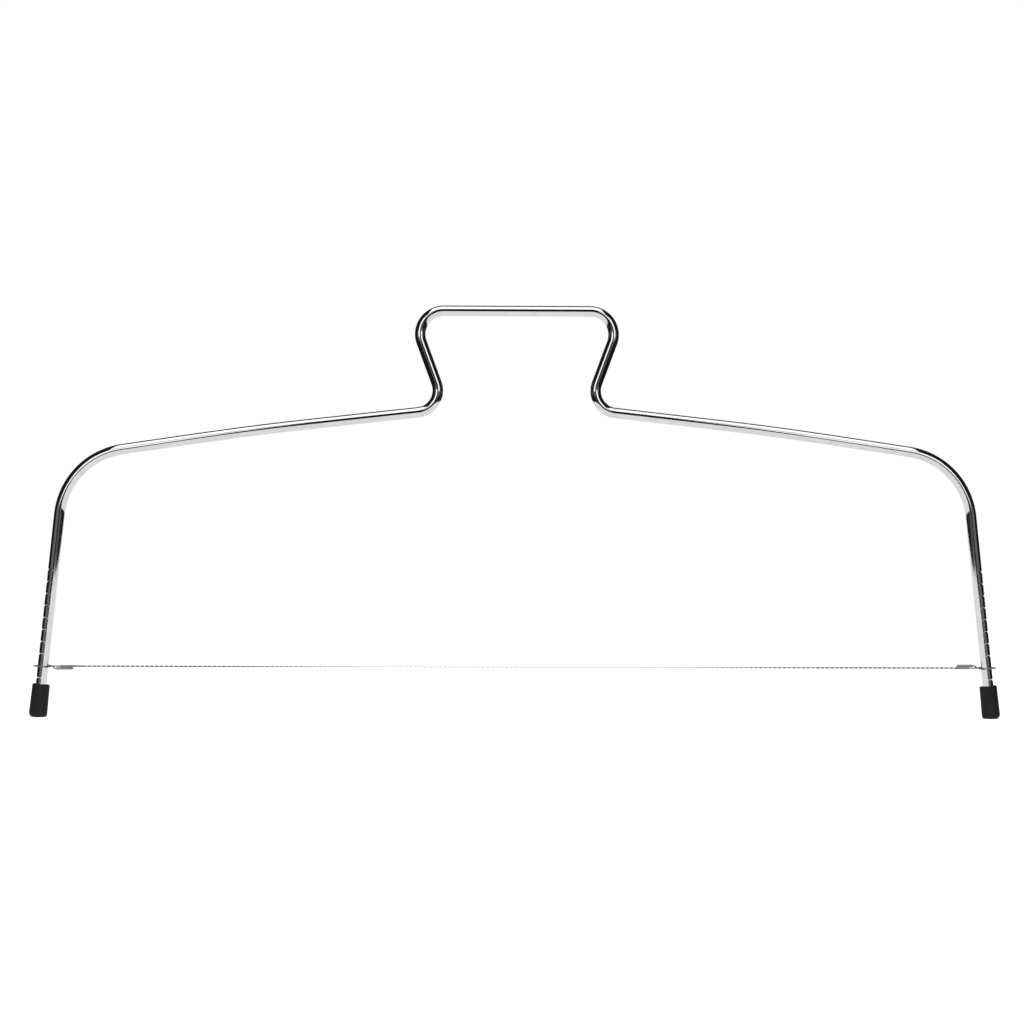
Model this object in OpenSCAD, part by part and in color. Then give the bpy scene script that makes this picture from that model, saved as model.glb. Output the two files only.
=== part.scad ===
// Cake leveler: a bent rod frame on two rubber feet with a height-adjustable cutting wire.
// Millimetres, +Z up, +X to the right. The frame stands in the XZ plane.
// The origin is on the table, midway between the two feet.

/* [Frame rod] */
// Diameter of the round rod that the frame is bent from
rod_d = 3.7; // [3.2:0.1:4.5]
// Distance between the centre lines of the legs at the table
leg_span = 324.6; // [290:0.2:400]
// Outward lean of each leg, in degrees
leg_lean = 5.92; // [3:0.02:9]
// Height of the corner point where a leg meets its arm
shoulder_z = 88.1; // [82:0.1:94]
// Centre line radius of the bend between leg and arm
shoulder_bend_r = 25; // [12:0.5:30]
// How far the middle of each arm bows up from a straight line
arm_bow = 1.15; // [0.5:0.05:2.5]
// Centre line radius of that bow
arm_bow_r = 1000; // [400:10:1200]

/* [Handle] */
// Height of the centre line of the handle bar above the table
bar_z = 138.4; // [130:0.1:150]
// Distance between the two top corner points of the handle
handle_w = 72.8; // [62:0.2:90]
// Centre line radius of the top corners
handle_bend_r = 8; // [5:0.5:10]
// Distance between the two lower corner points, where the handle meets the arms
neck_w = 48; // [40:0.2:60]
// Height of those lower corner points
neck_z = 104.9; // [101:0.1:109]
// Centre line radius of the lower corners
neck_bend_r = 7.5; // [5:0.5:9]

/* [Height notches] */
// Number of notches on each leg
notch_count = 10; // [4:1:12]
// Distance from one notch to the next, along the leg
notch_pitch = 4.1; // [3.5:0.1:4.5]
// Distance of the lowest notch from the table, along the leg
notch_first = 13.2; // [13:0.1:16]
// Depth of a notch at the outer side of the leg
notch_depth = 0.25; // [0.15:0.05:0.3]
// Width of a notch along the leg
notch_w = 0.65; // [0.6:0.05:1.2]
// Notch that holds the cutting wire, counted from the lowest
wire_notch = 2; // [1:1:4]

/* [Feet] */
// Diameter of a foot at its top
foot_top_d = 5.9; // [5.6:0.1:7]
// Diameter of a foot near the table
foot_d = 6.2; // [5.9:0.1:8]
// Length of a foot along the leg
foot_len = 11.2; // [9:0.1:12]
// Radius of the rounded lower edge of a foot
foot_edge_r = 1.5; // [0.8:0.1:2]
// Radius of the rounded upper rim of a foot
foot_rim_r = 0.4; // [0.2:0.05:0.6]
// Rubber left under the end of the rod, along the leg
foot_floor = 2.4; // [1.8:0.1:3.5]

/* [Hooks] */
// Diameter of the spring wire that the hooks are bent from
hook_d = 0.5; // [0.4:0.01:0.54]
// Gap between a hook and the leg that it goes round
hook_clearance = 0.05; // [0.03:0.01:0.15]
// Reach of the pinched nub outside the leg
nub_reach = 1.56; // [1.5:0.02:2.2]
// Gap between the two strands of a hook where they are pinched
pinch_gap = 0.06; // [0.04:0.01:0.1]
// Centre line radius of a strand where the loop closes to the nub and the neck
pinch_bend_r = 0.5; // [0.4:0.05:0.6]
// Length of the neck between the loop and the eye
neck_len = 0.5; // [0.3:0.05:1.2]
// Length of the eye between the neck and the first barrel of the ferrule
eye_len = 2.75; // [2.5:0.05:3.6]
// Length over which the eye opens
eye_flare = 0.75; // [0.6:0.05:0.9]
// Centre line radius of the bends in the eye
eye_bend_r = 0.5; // [0.3:0.05:0.6]

/* [Ferrules] */
// Outer diameter of each of the two barrels of a ferrule
barrel_d = 0.86; // [0.82:0.02:1]
// Distance between the centre lines of the two barrels
barrel_pitch = 0.8; // [0.7:0.02:0.8]
// How much nearer to the leg the second barrel starts
barrel_lead = 1.3; // [0.8:0.05:1.4]
// Depth of the blind hole in each barrel that holds a tail of the hook
tail_depth = 0.45; // [0.3:0.05:0.9]
// Metal between that hole and the bore for the cutting wire
ferrule_web = 0.15; // [0.1:0.01:0.3]
// Length of the tapered ends of the barrels
barrel_taper = 0.8; // [0.5:0.05:1.2]
// Wall left round the bore at its mouth
mouth_wall = 0.06; // [0.04:0.01:0.08]
// Diameter of the closed tip of the second barrel
barrel_tip_d = 0.3; // [0.2:0.02:0.5]
// How far that tip stops short of the mouth of the first barrel
tip_setback = 0.4; // [0.2:0.05:0.8]

/* [Cutting wire] */
// Diameter over the two twisted strands of the cutting wire
wire_d = 0.56; // [0.48:0.02:0.58]
// Radial gap between the cutting wire and the bore of its ferrule
wire_clearance = 0.04; // [0.02:0.01:0.05]
// Length of wire that stays in a ferrule at the lowest notch
wire_grip = 0.35; // [0.2:0.05:1]
// Room left past the end of the wire at the highest notch
wire_end_room = 0.15; // [0.1:0.05:0.5]

/* [Hidden] */
$fn = 64;

rod_r = rod_d / 2;
hook_r = hook_d / 2;
wire_r = wire_d / 2;
barrel_r = barrel_d / 2;
foot_r = foot_d / 2;
foot_top_r = foot_top_d / 2;
notch_r = notch_w / 2;

// Corner points of the right half of the frame, as [x, z]
foot_point = [leg_span / 2, 0];
shoulder_point = [leg_span / 2 - shoulder_z * tan(leg_lean), shoulder_z];
neck_point = [neck_w / 2, neck_z];
handle_point = [handle_w / 2, bar_z];

// The arm bows up at its middle, square to the line between its two corners
arm_run = shoulder_point - neck_point;
arm_side = [-arm_run[1], arm_run[0]] / norm(arm_run);
arm_point = (neck_point + shoulder_point) / 2 + arm_bow * arm_side;

// The leg ends inside its foot
leg_dir = [-sin(leg_lean), cos(leg_lean)];
leg_end = foot_point + foot_floor * leg_dir;

// Centre line of the whole rod, from the end of the left leg to the end of the right one
right_half = [handle_point, neck_point, arm_point, shoulder_point, leg_end];
half_bends = [handle_bend_r, neck_bend_r, arm_bow_r, shoulder_bend_r, 0];
half_last = len(right_half) - 1;
left_half = [for (i = [half_last:-1:0]) [-right_half[i][0], right_half[i][1]]];
rod_points = concat(left_half, right_half);
rod_bends = concat([for (i = [half_last:-1:0]) half_bends[i]], half_bends);

// A foot leans with its leg, so its round base is sunk until the table cuts it flat all round
table_cut = 0.05;
foot_sink = (foot_r - foot_edge_r) * tan(leg_lean) + table_cut;

// Where the cutting wire would cross the centre line of the right leg
wire_point = foot_point + (notch_first + (wire_notch - 1) * notch_pitch) * leg_dir;
wire_leg_x = wire_point[0];
wire_z = wire_point[1];

// The legs lean, so the ferrules draw together over the ends of the wire on the way up
draw_per_notch = notch_pitch * sin(leg_lean);
wire_in = wire_grip + (wire_notch - 1) * draw_per_notch;
bore_depth = wire_in + (notch_count - wire_notch) * draw_per_notch + wire_end_room;
bore_r = wire_r + wire_clearance;

// The loop of a hook is level while the leg leans, so its inside allows for both
loop_r = rod_r / cos(leg_lean) + hook_r * tan(leg_lean) + hook_clearance + hook_r;
loop_slope = 62;
loop_apex = loop_r / cos(loop_slope);
strand_y = hook_r + pinch_gap / 2;
pinch_x = (loop_apex - strand_y) / tan(loop_slope);
nub_x = rod_r + nub_reach - hook_r - strand_y;

// Stations along a fitting, from the centre line of the leg to the middle
neck_end = pinch_x + pinch_bend_r * tan(loop_slope / 2) + neck_len;
eye_end = neck_end + eye_len;
second_start = eye_end - barrel_lead;
ferrule_end = eye_end + tail_depth + ferrule_web + bore_depth;

// A bend is a little slimmer than the straights beside it, which run a little way into it, so that
// no two round faces meet edge on: the bend's share of the bar's radius, and that way as a share of it
bend_share = 0.98;
lap_share = 0.05;

// How far a cut goes past the face that it opens
cut_past = 1;

chrome_colour = [0.72, 0.73, 0.75];
rubber_colour = [0.09, 0.09, 0.1];
spring_colour = [0.5, 0.51, 0.53];
sleeve_colour = [0.62, 0.62, 0.63];
wire_colour = [0.78, 0.79, 0.8];

// Signed turn at the inner point i of the path p, in degrees
function turn_at(p, i) =
    let (a = p[i] - p[i - 1], b = p[i + 1] - p[i])
    atan2(a[0] * b[1] - a[1] * b[0], a * b);

// Distance from the point i of the path p to where its bend of radius r[i] starts
function setback(p, r, i) =
    (i == 0 || i == len(p) - 1) ? 0 : r[i] * tan(abs(turn_at(p, i)) / 2);

// A round bar that follows the path p in the XY plane, bent to the radius r[i] at each inner point
module bent_bar(p, r, bar_r) {
    lap = lap_share * bar_r;
    for (i = [0:len(p) - 2]) {
        run = p[i + 1] - p[i];
        x0 = i > 0 ? setback(p, r, i) - lap : 0;
        x1 = norm(run) - (i < len(p) - 2 ? setback(p, r, i + 1) - lap : 0);
        translate(p[i])
            rotate([0, 0, atan2(run[1], run[0])])
                bar_x(x0, x1, bar_r, bar_r);
    }
    for (i = [1:len(p) - 2]) {
        run = p[i] - p[i - 1];
        turn = turn_at(p, i);
        translate(p[i])
            rotate([0, 0, atan2(run[1], run[0])])
                translate([-setback(p, r, i), sign(turn) * r[i], 0])
                    rotate([0, 0, turn > 0 ? -90 : 90 + turn])
                        bend(r[i], abs(turn), bend_share * bar_r);
    }
}

// A bend about the Z axis, from +X through the given angle
module bend(r, angle, bar_r) {
    rotate_extrude(angle = angle)
        translate([r, 0])
            circle(r = bar_r);
}

// A straight bar along +X from x0 to x1, of radius r0 at its start and r1 at its end
module bar_x(x0, x1, r0, r1) {
    translate([x0, 0, 0])
        rotate([0, 90, 0])
            cylinder(r1 = r0, r2 = r1, h = x1 - x0);
}

// Mirrors a right-hand piece to the left
module to_left() {
    mirror([1, 0, 0])
        children();
}

// Puts its child on the right leg, with +Z up the leg from the table and +X to the outside
module on_leg() {
    translate([foot_point[0], 0, 0])
        rotate([0, -leg_lean, 0])
            children();
}

// Puts its child where the wire meets the right leg, with +X along the wire to the middle
module at_wire_end() {
    translate([wire_leg_x, 0, wire_z])
        mirror([1, 0, 0])
            children();
}

// Crescent grooves across the outer half of the right leg, deepest outside
module leg_notches() {
    on_leg()
        for (k = [0:notch_count - 1])
            translate([-notch_depth, 0, notch_first + k * notch_pitch])
                rotate_extrude()
                    translate([rod_r + notch_r, 0])
                        circle(r = notch_r);
}

module frame_rod() {
    color(chrome_colour)
        difference() {
            rotate([90, 0, 0])
                bent_bar(rod_points, rod_bends, rod_r);
            leg_notches();
            to_left()
                leg_notches();
        }
}

// Half section of a foot about its leg, with a round lower edge, a round rim and a blind bore
module foot_section() {
    base = -foot_sink;
    difference() {
        union() {
            polygon([
                [0, base],
                [foot_r - foot_edge_r, base],
                [foot_r, base + foot_edge_r],
                [foot_top_r, foot_len - foot_rim_r],
                [foot_top_r - foot_rim_r, foot_len],
                [0, foot_len]
            ]);
            intersection() {
                translate([foot_r - foot_edge_r, base + foot_edge_r])
                    circle(r = foot_edge_r);
                translate([0, base])
                    square([foot_r, foot_edge_r]);
            }
            intersection() {
                translate([foot_top_r - foot_rim_r, foot_len - foot_rim_r])
                    circle(r = foot_rim_r);
                translate([0, foot_len - foot_rim_r])
                    square([foot_top_r, foot_rim_r]);
            }
        }
        translate([0, foot_floor])
            square([rod_r, foot_len]);
    }
}

module right_foot() {
    color(rubber_colour)
        intersection() {
            on_leg()
                rotate_extrude()
                    foot_section();
            translate([foot_point[0] - foot_len, -foot_d, 0])
                cube([2 * foot_len, 2 * foot_d, 2 * foot_len]);
        }
}

module left_foot() {
    to_left()
        right_foot();
}

// A hook: two strands that loop round the leg, meet in the nub outside it and in the neck inside it,
// and open to an eye whose tails end in the two barrels. The second barrel is above (up = 1)
// or below (up = -1) the first.
module hook(up) {
    straight_path = [
        [eye_end + tail_depth, 0], [eye_end - eye_flare, 0], [neck_end + eye_flare, -strand_y]
    ];
    loop_path = [
        [pinch_x, -strand_y], [0, -loop_apex], [-pinch_x, -strand_y], [-nub_x, -strand_y]
    ];
    loop_bends = [pinch_bend_r, loop_r, pinch_bend_r, 0];
    flare_w = norm([strand_y, barrel_pitch]);
    flare_path = [
        [neck_end, 0], [neck_end + eye_flare, flare_w], [second_start + tail_depth, flare_w]
    ];
    bent_bar(concat(straight_path, loop_path),
        concat([0, eye_bend_r, eye_bend_r], loop_bends), hook_r);
    mirror([0, 1, 0])
        bent_bar(concat([[neck_end, -strand_y]], loop_path), concat([0], loop_bends), hook_r);
    translate([lap_share * hook_r - nub_x, 0, 0])
        rotate([0, 0, 90])
            bend(strand_y, 180, bend_share * hook_r);
    translate([0, strand_y, 0])
        rotate([atan2(up * barrel_pitch, -strand_y), 0, 0])
            bent_bar(flare_path, [0, eye_bend_r, 0], hook_r);
    translate([neck_end, strand_y, 0])
        sphere(r = hook_r / bend_share);
}

module right_hook() {
    color(spring_colour)
        at_wire_end()
            hook(1);
}

module left_hook() {
    color(spring_colour)
        to_left()
            at_wire_end()
                hook(-1);
}

// A crimped ferrule of two barrels: the first lies on the line of the wire and takes its end,
// the second closes to a point. Each holds one tail of the hook.
module ferrule(up) {
    second_end = ferrule_end - tip_setback;
    difference() {
        union() {
            bar_x(eye_end, ferrule_end - barrel_taper, barrel_r, barrel_r);
            bar_x(ferrule_end - barrel_taper, ferrule_end, barrel_r, bore_r + mouth_wall);
            translate([0, 0, up * barrel_pitch]) {
                bar_x(second_start, second_end - barrel_taper, barrel_r, barrel_r);
                bar_x(second_end - barrel_taper, second_end, barrel_r, barrel_tip_d / 2);
            }
        }
        bar_x(ferrule_end - bore_depth, ferrule_end + cut_past, bore_r, bore_r);
        bar_x(eye_end - cut_past, eye_end + tail_depth, hook_r, hook_r);
        translate([0, 0, up * barrel_pitch])
            bar_x(second_start - cut_past, second_start + tail_depth, hook_r, hook_r);
    }
}

module right_ferrule() {
    color(sleeve_colour)
        at_wire_end()
            ferrule(1);
}

module left_ferrule() {
    color(sleeve_colour)
        to_left()
            at_wire_end()
                ferrule(-1);
}

module cutting_wire() {
    half = wire_leg_x - ferrule_end + wire_in;
    color(wire_colour)
        translate([0, 0, wire_z])
            bar_x(-half, half, wire_r, wire_r);
}

frame_rod();
left_foot();
right_foot();
left_hook();
right_hook();
left_ferrule();
right_ferrule();
cutting_wire();
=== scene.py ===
import math
import bpy
from mathutils import Matrix, Vector


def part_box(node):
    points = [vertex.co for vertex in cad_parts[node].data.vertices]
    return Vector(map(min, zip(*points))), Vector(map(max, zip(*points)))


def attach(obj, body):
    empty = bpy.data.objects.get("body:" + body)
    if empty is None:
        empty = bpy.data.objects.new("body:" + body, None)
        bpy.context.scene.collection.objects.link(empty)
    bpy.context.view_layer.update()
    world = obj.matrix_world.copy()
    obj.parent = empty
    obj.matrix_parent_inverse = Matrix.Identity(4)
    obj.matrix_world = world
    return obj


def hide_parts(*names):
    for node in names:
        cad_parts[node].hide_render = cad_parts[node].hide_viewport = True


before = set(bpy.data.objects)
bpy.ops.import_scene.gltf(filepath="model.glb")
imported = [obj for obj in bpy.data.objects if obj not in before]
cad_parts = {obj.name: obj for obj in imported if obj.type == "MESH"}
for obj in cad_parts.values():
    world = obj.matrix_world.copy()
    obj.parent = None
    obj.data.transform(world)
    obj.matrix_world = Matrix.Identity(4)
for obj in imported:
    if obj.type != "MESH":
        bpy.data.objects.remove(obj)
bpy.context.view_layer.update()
scene = bpy.context.scene
scene.view_settings.view_transform = "Standard"

# Camera
LENS = 100.0
SENSOR = 36.0
YAW, PITCH, ROLL = (math.radians(a) for a in (0.9, -0.03, 0.18))

cam = bpy.data.objects.new("camera", bpy.data.cameras.new("camera"))
scene.collection.objects.link(cam)
cam.data.lens = LENS
cam.data.sensor_width = SENSOR
cam.data.clip_start = 0.01
cam.data.clip_end = 20.0
forward = Vector((math.sin(YAW) * math.cos(PITCH), math.cos(YAW) * math.cos(PITCH), math.sin(PITCH)))
level = Vector((math.cos(YAW), -math.sin(YAW), 0.0))
upright = level.cross(forward)
right = math.cos(ROLL) * level + math.sin(ROLL) * upright
upward = math.cos(ROLL) * upright - math.sin(ROLL) * level
cam.location = (-0.0167, -0.968, 0.0705)
cam.rotation_euler = Matrix((right, upward, -forward)).transposed().to_euler()
scene.camera = cam

# Sizes, in millimetres
MM = 0.001
ROD_R = 1.844
LEG_SPAN = 324.6
LEG_LEAN = math.radians(5.92)
SHOULDER_Z = 88.1
NOTCH_COUNT, NOTCH_PITCH, NOTCH_FIRST = 10, 4.1, 13.2
NOTCH_DEPTH, NOTCH_R = 0.25, 0.325
WIRE_NOTCH = 2
ARM_BOW = 1.15
HANDLE_BEND, NECK_BEND, ARM_BEND, SHOULDER_BEND = 8.0, 7.5, 1000.0, 25.0
FOOT_FLOOR = 2.4

lean_dir = Vector((-math.sin(LEG_LEAN), 0, math.cos(LEG_LEAN)))
foot_pt = Vector((LEG_SPAN / 2, 0, 0))
shoulder_pt = Vector((LEG_SPAN / 2 - SHOULDER_Z * math.tan(LEG_LEAN), 0, SHOULDER_Z))
neck_pt = Vector((24.0, 0, 104.9))
handle_pt = Vector((36.4, 0, 138.4))
arm_run = shoulder_pt - neck_pt
arm_side = Vector((-arm_run.z, 0, arm_run.x)).normalized()
arm_pt = (neck_pt + shoulder_pt) / 2 + ARM_BOW * arm_side
leg_end = foot_pt + FOOT_FLOOR * lean_dir
wire_pt = foot_pt + (NOTCH_FIRST + (WIRE_NOTCH - 1) * NOTCH_PITCH) * lean_dir


# Mesh helpers
def mesh_object(name, verts, faces, material, body):
    mesh = bpy.data.meshes.new(name)
    mesh.from_pydata([tuple(c * MM for c in v) for v in verts], [], faces)
    mesh.update()
    for poly in mesh.polygons:
        poly.use_smooth = len(poly.vertices) == 4
    obj = bpy.data.objects.new(name, mesh)
    scene.collection.objects.link(obj)
    mesh.materials.append(material)
    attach(obj, body)
    return obj


def ring_faces(first, rings, sides):
    faces = []
    for i in range(rings - 1):
        for j in range(sides):
            a = first + i * sides + j
            b = first + i * sides + (j + 1) % sides
            faces.append((a, b, b + sides, a + sides))
    faces.append(tuple(first + j for j in reversed(range(sides))))
    faces.append(tuple(first + (rings - 1) * sides + j for j in range(sides)))
    return faces


def sweep(points, radii, sides, verts, faces):
    """Adds a round tube along the points, with frames carried along without twist."""
    first = len(verts)
    tangents = []
    for i in range(len(points)):
        a = points[max(i - 1, 0)]
        b = points[min(i + 1, len(points) - 1)]
        tangents.append((b - a).normalized())
    side = tangents[0].orthogonal().normalized()
    for i, point in enumerate(points):
        t = tangents[i]
        side = (side - t * side.dot(t)).normalized()
        other = t.cross(side)
        r = radii[i] if hasattr(radii, "__len__") else radii
        for j in range(sides):
            a = 2 * math.pi * j / sides
            verts.append(point + r * (math.cos(a) * side + math.sin(a) * other))
    faces += ring_faces(first, len(points), sides)


def smooth_line(points, steps):
    """Catmull-Rom line through the points."""
    pts = [Vector(p) for p in points]
    pts = [2 * pts[0] - pts[1]] + pts + [2 * pts[-1] - pts[-2]]
    out = []
    for i in range(1, len(pts) - 2):
        p0, p1, p2, p3 = pts[i - 1:i + 3]
        for k in range(steps):
            t = k / steps
            out.append(0.5 * (2 * p1 + (p2 - p0) * t + (2 * p0 - 5 * p1 + 4 * p2 - p3) * t * t
                              + (3 * p1 - p0 - 3 * p2 + p3) * t ** 3))
    out.append(pts[-2])
    return out


# Materials
def new_material(name):
    mat = bpy.data.materials.new(name)
    mat.use_nodes = True
    tree = mat.node_tree
    shader = tree.nodes["Principled BSDF"]
    return mat, tree, shader


def add(tree, kind, **values):
    node = tree.nodes.new(kind)
    for key, value in values.items():
        if key in node.inputs:
            node.inputs[key].default_value = value
        else:
            setattr(node, key, value)
    return node


def place_coords(tree, stretch):
    coord = add(tree, "ShaderNodeTexCoord")
    mapping = add(tree, "ShaderNodeMapping")
    mapping.inputs["Scale"].default_value = stretch
    tree.links.new(coord.outputs["Object"], mapping.inputs["Vector"])
    return mapping.outputs["Vector"]


def noise(tree, vector, scale, detail, rough):
    node = add(tree, "ShaderNodeTexNoise", Scale=scale, Detail=detail, Roughness=rough)
    tree.links.new(vector, node.inputs["Vector"])
    return node.outputs["Fac"]


def ramp(tree, fac, stops):
    node = add(tree, "ShaderNodeValToRGB")
    while len(node.color_ramp.elements) < len(stops):
        node.color_ramp.elements.new(0.5)
    for element, (place, colour) in zip(node.color_ramp.elements, stops):
        element.position = place
        element.color = (*colour, 1.0)
    tree.links.new(fac, node.inputs["Fac"])
    return node.outputs["Color"]


def spread(tree, fac, low, high):
    node = add(tree, "ShaderNodeMapRange")
    node.inputs["To Min"].default_value = low
    node.inputs["To Max"].default_value = high
    tree.links.new(fac, node.inputs["Value"])
    return node.outputs["Result"]


def calc(tree, operation, *inputs):
    node = add(tree, "ShaderNodeMath", operation=operation)
    for i, value in enumerate(inputs):
        if isinstance(value, (int, float)):
            node.inputs[i].default_value = value
        else:
            tree.links.new(value, node.inputs[i])
    return node.outputs[0]


def soft_step(tree, value, middle, soft):
    """0 below the middle and 1 above it, with a soft edge."""
    node = add(tree, "ShaderNodeMapRange", interpolation_type="SMOOTHSTEP")
    node.inputs["From Min"].default_value = middle - soft
    node.inputs["From Max"].default_value = middle + soft
    tree.links.new(value, node.inputs["Value"])
    return node.outputs["Result"]


def window(tree, value, low, high, soft):
    return calc(tree, "MULTIPLY", soft_step(tree, value, low, soft),
                calc(tree, "SUBTRACT", 1.0, soft_step(tree, value, high, soft)))


def bump(tree, shader, height, strength, distance):
    node = add(tree, "ShaderNodeBump", Strength=strength, Distance=distance)
    tree.links.new(height, node.inputs["Height"])
    tree.links.new(node.outputs["Normal"], shader.inputs["Normal"])


def metal(name, dark, light, rough_low, rough_high, scale, stretch, bump_depth):
    mat, tree, shader = new_material(name)
    shader.inputs["Metallic"].default_value = 1.0
    where = place_coords(tree, stretch)
    cloud = noise(tree, where, scale, 4.0, 0.55)
    fine = noise(tree, where, scale * 6.0, 6.0, 0.65)
    tree.links.new(ramp(tree, cloud, [(0.3, dark), (0.7, light)]), shader.inputs["Base Color"])
    tree.links.new(spread(tree, fine, rough_low, rough_high), shader.inputs["Roughness"])
    bump(tree, shader, fine, 0.15, bump_depth)
    return mat


chrome = metal("polished_chrome", (0.64, 0.645, 0.65), (0.72, 0.725, 0.73),
               0.03, 0.08, 260.0, (1.0, 1.0, 1.0), 0.000012)
spring = metal("spring_wire", (0.15, 0.15, 0.16), (0.28, 0.28, 0.29),
               0.14, 0.26, 900.0, (1.0, 4.0, 4.0), 0.00002)
sleeve = metal("crimp_sleeve", (0.18, 0.18, 0.18), (0.34, 0.34, 0.33),
               0.12, 0.26, 1200.0, (1.0, 1.0, 1.0), 0.00002)


def wire_metal():
    """Twisted wire with a painted reflection: pale and mostly matt in mid-span, darker and fully metal towards
    its ends, and with painted shade between its strands.
    """
    mat, tree, shader = new_material("wire_strand")
    where = place_coords(tree, (1.0, 1.0, 1.0))
    cloud = noise(tree, where, 1500.0, 4.0, 0.55)
    fine = noise(tree, where, 9000.0, 6.0, 0.65)
    along = add(tree, "ShaderNodeSeparateXYZ")
    tree.links.new(where, along.inputs[0])
    # Painted reflection: 0 over the pale mid-span, where the tone stands in for a reflection of light, and 1
    # towards the wire's ends.
    outside_painted_reflection = soft_step(tree, calc(tree, "ABSOLUTE", along.outputs["X"]), 0.08, 0.04)
    # Painted shade: the sides of the strands that face each other are darkened, weakly in mid-span and more
    # towards the ends.
    inward = add(tree, "ShaderNodeAttribute", attribute_name="inward")
    groove = soft_step(tree, inward.outputs["Fac"], 0.2, 0.35)
    painted_groove_shade = calc(tree, "MULTIPLY", groove, spread(tree, outside_painted_reflection, 0.1, 0.5))
    # Painted reflection and painted shade together: how far the tone falls from the pale mid-span, plus the
    # painted shade between the strands.
    painted_shading = calc(tree, "MULTIPLY_ADD", outside_painted_reflection, 0.6, painted_groove_shade)
    dark = calc(tree, "ADD", painted_shading, spread(tree, cloud, -0.05, 0.05))
    # The pale end of this ramp is the painted reflection in mid-span; the dark end is the painted shade.
    tone = ramp(tree, dark, [(0.0, (0.93, 0.93, 0.93)), (0.4, (0.42, 0.42, 0.42)), (0.95, (0.03, 0.03, 0.03))])
    tree.links.new(tone, shader.inputs["Base Color"])
    # Painted reflection: the wire is mostly matt in mid-span so that it shows pale there, and fully metal
    # towards its ends.
    tree.links.new(spread(tree, outside_painted_reflection, 0.25, 1.0), shader.inputs["Metallic"])
    tree.links.new(spread(tree, fine, 0.18, 0.36), shader.inputs["Roughness"])
    bump(tree, shader, fine, 0.1, 0.00001)
    return mat


strand = wire_metal()

rubber, tree, shader = new_material("moulded_rubber")
where = place_coords(tree, (1.0, 1.0, 1.0))
cloud = noise(tree, where, 350.0, 3.0, 0.5)
grain = noise(tree, where, 4200.0, 5.0, 0.7)
tree.links.new(ramp(tree, cloud, [(0.3, (0.006, 0.006, 0.0065)), (0.7, (0.014, 0.014, 0.0145))]),
               shader.inputs["Base Color"])
tree.links.new(spread(tree, grain, 0.5, 0.75), shader.inputs["Roughness"])
shader.inputs["Specular IOR Level"].default_value = 0.25
bump(tree, shader, grain, 0.5, 0.00003)


# Frame rod
NOTCH_STEPS = 8
# How far the plain ring beside a notch, and the one beside the end of a leg, stand from it
NOTCH_LAND, END_RING = 0.035, 0.05


def notch_rings():
    """Places of the rings across one notch, closer together towards its rims."""
    half = [NOTCH_R * math.sin(math.pi / 2 * k / NOTCH_STEPS) for k in range(1, NOTCH_STEPS + 1)]
    half.append(NOTCH_R + NOTCH_LAND)
    return [-d for d in half] + [0.0] + half


def path_stations():
    """Stations of the rod from the right leg's end to the left one's, as centre, tangent and
    distance up the leg (or None off the legs)."""
    half = [handle_pt, neck_pt, arm_pt, shoulder_pt, leg_end]
    bends = [HANDLE_BEND, NECK_BEND, ARM_BEND, SHOULDER_BEND, 0.0]
    points = list(reversed(half)) + [Vector((-p.x, 0, p.z)) for p in half]
    radii = list(reversed(bends)) + bends
    stations = []
    cuts = [None] * len(points)
    for i in range(1, len(points) - 1):
        a = (points[i] - points[i - 1]).normalized()
        b = (points[i + 1] - points[i]).normalized()
        turn = math.atan2(a.z * b.x - a.x * b.z, a.dot(b))
        cuts[i] = (a, b, turn, radii[i] * math.tan(abs(turn) / 2))
    for i in range(len(points) - 1):
        a = points[i] + (points[i + 1] - points[i]).normalized() * (cuts[i][3] if cuts[i] else 0)
        b = points[i + 1] - (points[i + 1] - points[i]).normalized() * (cuts[i + 1][3] if cuts[i + 1] else 0)
        t = (b - a).normalized()
        length = (b - a).length
        on_leg = i in (0, len(points) - 2)
        places = {0.0, length}
        if on_leg:
            lower = a if i == 0 else b
            start = (lower - (foot_pt if i == 0 else Vector((-foot_pt.x, 0, 0)))).length
            ups = [NOTCH_FIRST + k * NOTCH_PITCH + d - start
                   for k in range(NOTCH_COUNT) for d in notch_rings()]
            places |= {up if i == 0 else length - up for up in ups + [END_RING]}
        else:
            places |= {length * k / 6 for k in range(1, 6)}
        for s in sorted(places):
            c = a + t * s
            up = None
            if on_leg:
                up = (c - Vector((math.copysign(foot_pt.x, c.x), 0, 0))).length
            stations.append((c, t, up))
        if cuts[i + 1]:
            ta, tb, turn, back = cuts[i + 1]
            r = radii[i + 1]
            steps = max(3, int(abs(math.degrees(turn)) / 2.5))
            centre_side = Vector((ta.z, 0, -ta.x)) * (1 if turn > 0 else -1)
            centre = points[i + 1] - ta * back + centre_side * r
            for k in range(1, steps):
                f = turn * k / steps
                rot = lambda v: Vector((v.x * math.cos(f) + v.z * math.sin(f), 0,
                                        -v.x * math.sin(f) + v.z * math.cos(f)))
                stations.append((centre - rot(centre_side) * r, rot(ta), None))
    return stations


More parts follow.
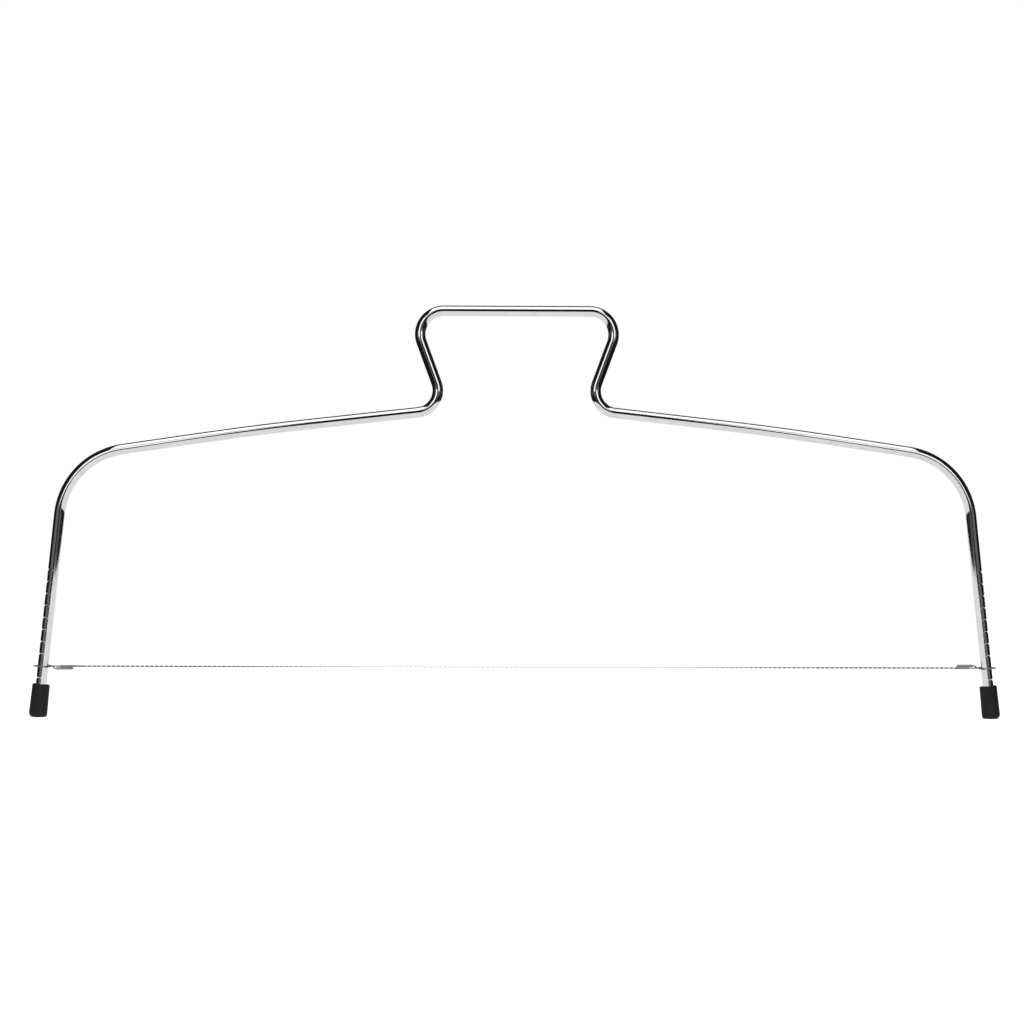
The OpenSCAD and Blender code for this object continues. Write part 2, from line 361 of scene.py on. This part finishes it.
def build_rod():
    sides = 64
    verts, faces = [], []
    stations = path_stations()
    for c, t, up in stations:
        out = Vector((t.z, 0, -t.x))
        for j in range(sides):
            a = 2 * math.pi * j / sides
            r = ROD_R
            if up is not None:
                k = round((up - NOTCH_FIRST) / NOTCH_PITCH)
                k = min(max(k, 0), NOTCH_COUNT - 1)
                dz = up - NOTCH_FIRST - k * NOTCH_PITCH
                if abs(dz) < NOTCH_R:
                    ring = ROD_R + NOTCH_R - math.sqrt(NOTCH_R ** 2 - dz ** 2)
                    cut = (-NOTCH_DEPTH * math.cos(a)
                           + math.sqrt(ring ** 2 - (NOTCH_DEPTH * math.sin(a)) ** 2))
                    r = min(r, cut)
            verts.append(c + r * (math.cos(a) * out + math.sin(a) * Vector((0, 1, 0))))
    faces = ring_faces(0, len(stations), sides)
    rod = mesh_object("rod", verts, faces, chrome, "frame")
    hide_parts("frame_rod")


build_rod()

# Feet
for name in ("left_foot", "right_foot"):
    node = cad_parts[name]
    node.data.materials.clear()
    node.data.materials.append(rubber)

# Hooks
HOOK_R = 0.25
BARREL_PITCH = 0.8


def build_hook(side, up):
    """side is 1 on the right and -1 on the left; up is 1 where the second barrel is above."""
    half = [
        (-3.14, 0.0, 0.0), (-3.05, 0.21, 0.02), (-2.7, 0.28, 0.06), (-2.4, 0.46, 0.12),
        (-2.05, 0.96, 0.2), (-1.2, 1.85, 0.24), (0.0, 2.2, 0.0), (1.2, 1.85, -0.24),
        (2.05, 0.96, -0.2), (2.4, 0.46, -0.12), (2.7, 0.28, -0.04), (3.1, 0.26, 0.0),
    ]
    front = [(u, -y, z) for u, y, z in half]
    back = [(u, y, -z) for u, y, z in half]
    first_tail = [(3.35, -0.16, 0.0), (3.8, -0.02, 0.0), (4.4, 0.0, 0.0), (5.2, 0.0, 0.0), (6.25, 0.0, 0.0)]
    second_tail = [(3.3, 0.18, 0.14 * up), (3.7, 0.05, 0.6 * up), (4.1, 0.0, BARREL_PITCH * up),
                   (4.6, 0.0, BARREL_PITCH * up), (4.95, 0.0, BARREL_PITCH * up)]
    line = list(reversed(first_tail)) + list(reversed(front)) + back[1:] + second_tail
    local = smooth_line(line, 10)
    points = [Vector((side * (wire_pt.x - p.x), p.y, wire_pt.z + p.z)) for p in local]
    verts, faces = [], []
    sweep(points, HOOK_R, 20, verts, faces)
    name = "right" if side > 0 else "left"
    obj = mesh_object(name + "_hook_wire", verts, faces, spring, name + "_end")
    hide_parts(name + "_hook")


build_hook(1, 1)
build_hook(-1, -1)

# Ferrules
for name in ("left_ferrule", "right_ferrule"):
    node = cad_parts[name]
    node.data.materials.clear()
    node.data.materials.append(sleeve)


# Cutting wire
STRAND_R = 0.14
STRAND_SIDES = 12
LAY = 3.26
# Length at the left end before the strands start to wind
PLAIN_START = 4.0
WIRE_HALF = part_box("cutting_wire")[1].x / MM


def build_wire():
    verts, faces, inward = [], [], []
    per_lay = 20
    count = int(2 * WIRE_HALF / LAY * per_lay)
    for strand_no in (0, 1):
        points = []
        for i in range(count + 1):
            x = -WIRE_HALF + 2 * WIRE_HALF * i / count
            from_left = x + WIRE_HALF
            wound = max(0.0, from_left - PLAIN_START)
            turn = 2 * math.pi * wound / LAY + math.pi * strand_no
            points.append(Vector((x, STRAND_R * math.sin(turn), wire_pt.z + STRAND_R * math.cos(turn))))
        first = len(verts)
        sweep(points, STRAND_R, STRAND_SIDES, verts, faces)
        for i, point in enumerate(points):
            to_axis = (Vector((point.x, 0, wire_pt.z)) - point).normalized()
            ring = verts[first + i * STRAND_SIDES:first + (i + 1) * STRAND_SIDES]
            inward += [(v - point).dot(to_axis) / STRAND_R for v in ring]
    obj = mesh_object("twisted_wire", verts, faces, strand, "wire")
    obj.data.attributes.new("inward", "FLOAT", "POINT").data.foreach_set("value", inward)
    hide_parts("cutting_wire")


build_wire()

WHITE = (1.0, 1.0, 1.0, 1.0)


# Studio helpers
def in_mirror(tree, path):
    """1 for light that comes by way of metal or glass, and 0 for other light."""
    return calc(tree, "MAXIMUM", path.outputs["Is Glossy Ray"], path.outputs["Is Transmission Ray"])


def choose(tree, chosen, otherwise, choice):
    """The shader named choice where chosen is 1, and the one named otherwise where it is 0."""
    node = add(tree, "ShaderNodeMixShader")
    tree.links.new(chosen, node.inputs[0])
    tree.links.new(otherwise.outputs[0], node.inputs[1])
    tree.links.new(choice.outputs[0], node.inputs[2])
    return node


# Floor: a table that covers what the camera sees of it and a margin at the sides, in metres
TABLE_FRONT, TABLE_BACK, TABLE_MARGIN = -0.58, 1.0, 0.04
TABLE_GAP = 0.00005
TABLE_COLOUR = (0.9, 0.9, 0.9, 1.0)
# What whitens the table for the camera, without lighting the object
TABLE_GLOW = 0.5


def build_floor():
    mesh = bpy.data.meshes.new("floor")
    corners = []
    for y, sides in ((TABLE_FRONT, (-1, 1)), (TABLE_BACK, (1, -1))):
        half = (y - cam.location.y) * SENSOR / LENS / 2 + TABLE_MARGIN
        corners += [(side * half, y, -TABLE_GAP) for side in sides]
    mesh.from_pydata(corners, [], [(0, 1, 2, 3)])
    floor = bpy.data.objects.new("floor", mesh)
    scene.collection.objects.link(floor)
    mat = bpy.data.materials.new("pale_floor")
    mesh.materials.append(mat)
    mat.use_nodes = True
    tree = mat.node_tree
    tree.nodes.clear()
    path = add(tree, "ShaderNodeLightPath")
    matt = add(tree, "ShaderNodeBsdfDiffuse", Color=TABLE_COLOUR)
    glow = add(tree, "ShaderNodeEmission", Color=WHITE)
    tree.links.new(calc(tree, "MULTIPLY", path.outputs["Is Camera Ray"], TABLE_GLOW), glow.inputs["Strength"])
    seen = add(tree, "ShaderNodeAddShader")
    tree.links.new(matt.outputs[0], seen.inputs[0])
    tree.links.new(glow.outputs[0], seen.inputs[1])
    mirrored = add(tree, "ShaderNodeEmission", Color=WHITE, Strength=1.0)
    out = add(tree, "ShaderNodeOutputMaterial")
    tree.links.new(choose(tree, in_mirror(tree, path), seen, mirrored).outputs[0], out.inputs["Surface"])


# World: directions in degrees, round the object from the camera's side and above the horizon
BACK = 180
# The white backdrop, which the camera sees too
BACKDROP_HALF, BACKDROP_LOW, BACKDROP_TOP = 30, -10, 40
# The dim walls to the left and right of the camera
WALL_MIDDLE, WALL_HALF, WALL_LOW, WALL_TOP, WALL_TONE = 35, 25, -5, 10, 0.15
PANEL_EDGE = 5
DARK_ROOM = 0.01
FILL = 0.5


def build_world():
    world = bpy.data.worlds.new("studio")
    scene.world = world
    world.use_nodes = True
    tree = world.node_tree
    tree.nodes.clear()
    coord = add(tree, "ShaderNodeTexCoord")
    parts = add(tree, "ShaderNodeSeparateXYZ")
    tree.links.new(coord.outputs["Generated"], parts.inputs[0])
    ahead = calc(tree, "MULTIPLY", parts.outputs["Y"], -1.0)
    azimuth = calc(tree, "DEGREES", calc(tree, "ARCTAN2", parts.outputs["X"], ahead))
    elevation = calc(tree, "DEGREES", calc(tree, "ARCSINE", parts.outputs["Z"]))

    def panel(middle, half_width, lowest, highest, tone):
        turned = calc(tree, "WRAP", calc(tree, "SUBTRACT", azimuth, middle), 180.0, -180.0)
        aside = soft_step(tree, calc(tree, "ABSOLUTE", turned), half_width, PANEL_EDGE)
        upright = window(tree, elevation, lowest, highest, PANEL_EDGE)
        shape = calc(tree, "MULTIPLY", calc(tree, "SUBTRACT", 1.0, aside), upright)
        return calc(tree, "MULTIPLY", shape, tone)

    room = calc(tree, "ADD", panel(BACK, BACKDROP_HALF, BACKDROP_LOW, BACKDROP_TOP, 1.0), DARK_ROOM)
    for side in (-1, 1):
        wall = panel(side * WALL_MIDDLE, WALL_HALF, WALL_LOW, WALL_TOP, WALL_TONE)
        room = calc(tree, "ADD", room, wall)
    path = add(tree, "ShaderNodeLightPath")
    seen = add(tree, "ShaderNodeBackground", Color=WHITE, Strength=1.0)
    fill = add(tree, "ShaderNodeBackground", Color=WHITE, Strength=FILL)
    mirrored = add(tree, "ShaderNodeBackground", Color=WHITE)
    tree.links.new(room, mirrored.inputs["Strength"])
    unseen = choose(tree, in_mirror(tree, path), fill, mirrored)
    out = add(tree, "ShaderNodeOutputWorld")
    tree.links.new(choose(tree, path.outputs["Is Camera Ray"], unseen, seen).outputs[0], out.inputs["Surface"])


# Lamps: all face the object, from the same distance in metres
LAMP_AIM = Vector((0, 0, 0.1))
LAMP_FAR = 1.0


def build_lamp(name, azimuth, rise, width, height, tone):
    """A soft lamp in a direction in degrees. The tone is what a perfect mirror shows of it."""
    light = bpy.data.lights.new(name, "AREA")
    light.shape = "RECTANGLE"
    light.size = width
    light.size_y = height
    light.energy = math.pi * width * height * tone
    lamp = bpy.data.objects.new(name, light)
    scene.collection.objects.link(lamp)
    level = math.cos(math.radians(rise))
    way = Vector((level * math.sin(math.radians(azimuth)), -level * math.cos(math.radians(azimuth)),
                  math.sin(math.radians(rise))))
    lamp.location = LAMP_AIM + LAMP_FAR * way
    lamp.rotation_euler = (-way).to_track_quat("-Z", "Y").to_euler()
    lamp.visible_camera = False


build_floor()
build_world()
build_lamp("softbox", 0, 65, 1.0, 1.1, 1.6)
for side in (-1, 1):
    build_lamp("window", side * 25, 15, 0.45, 0.45, 1.3)
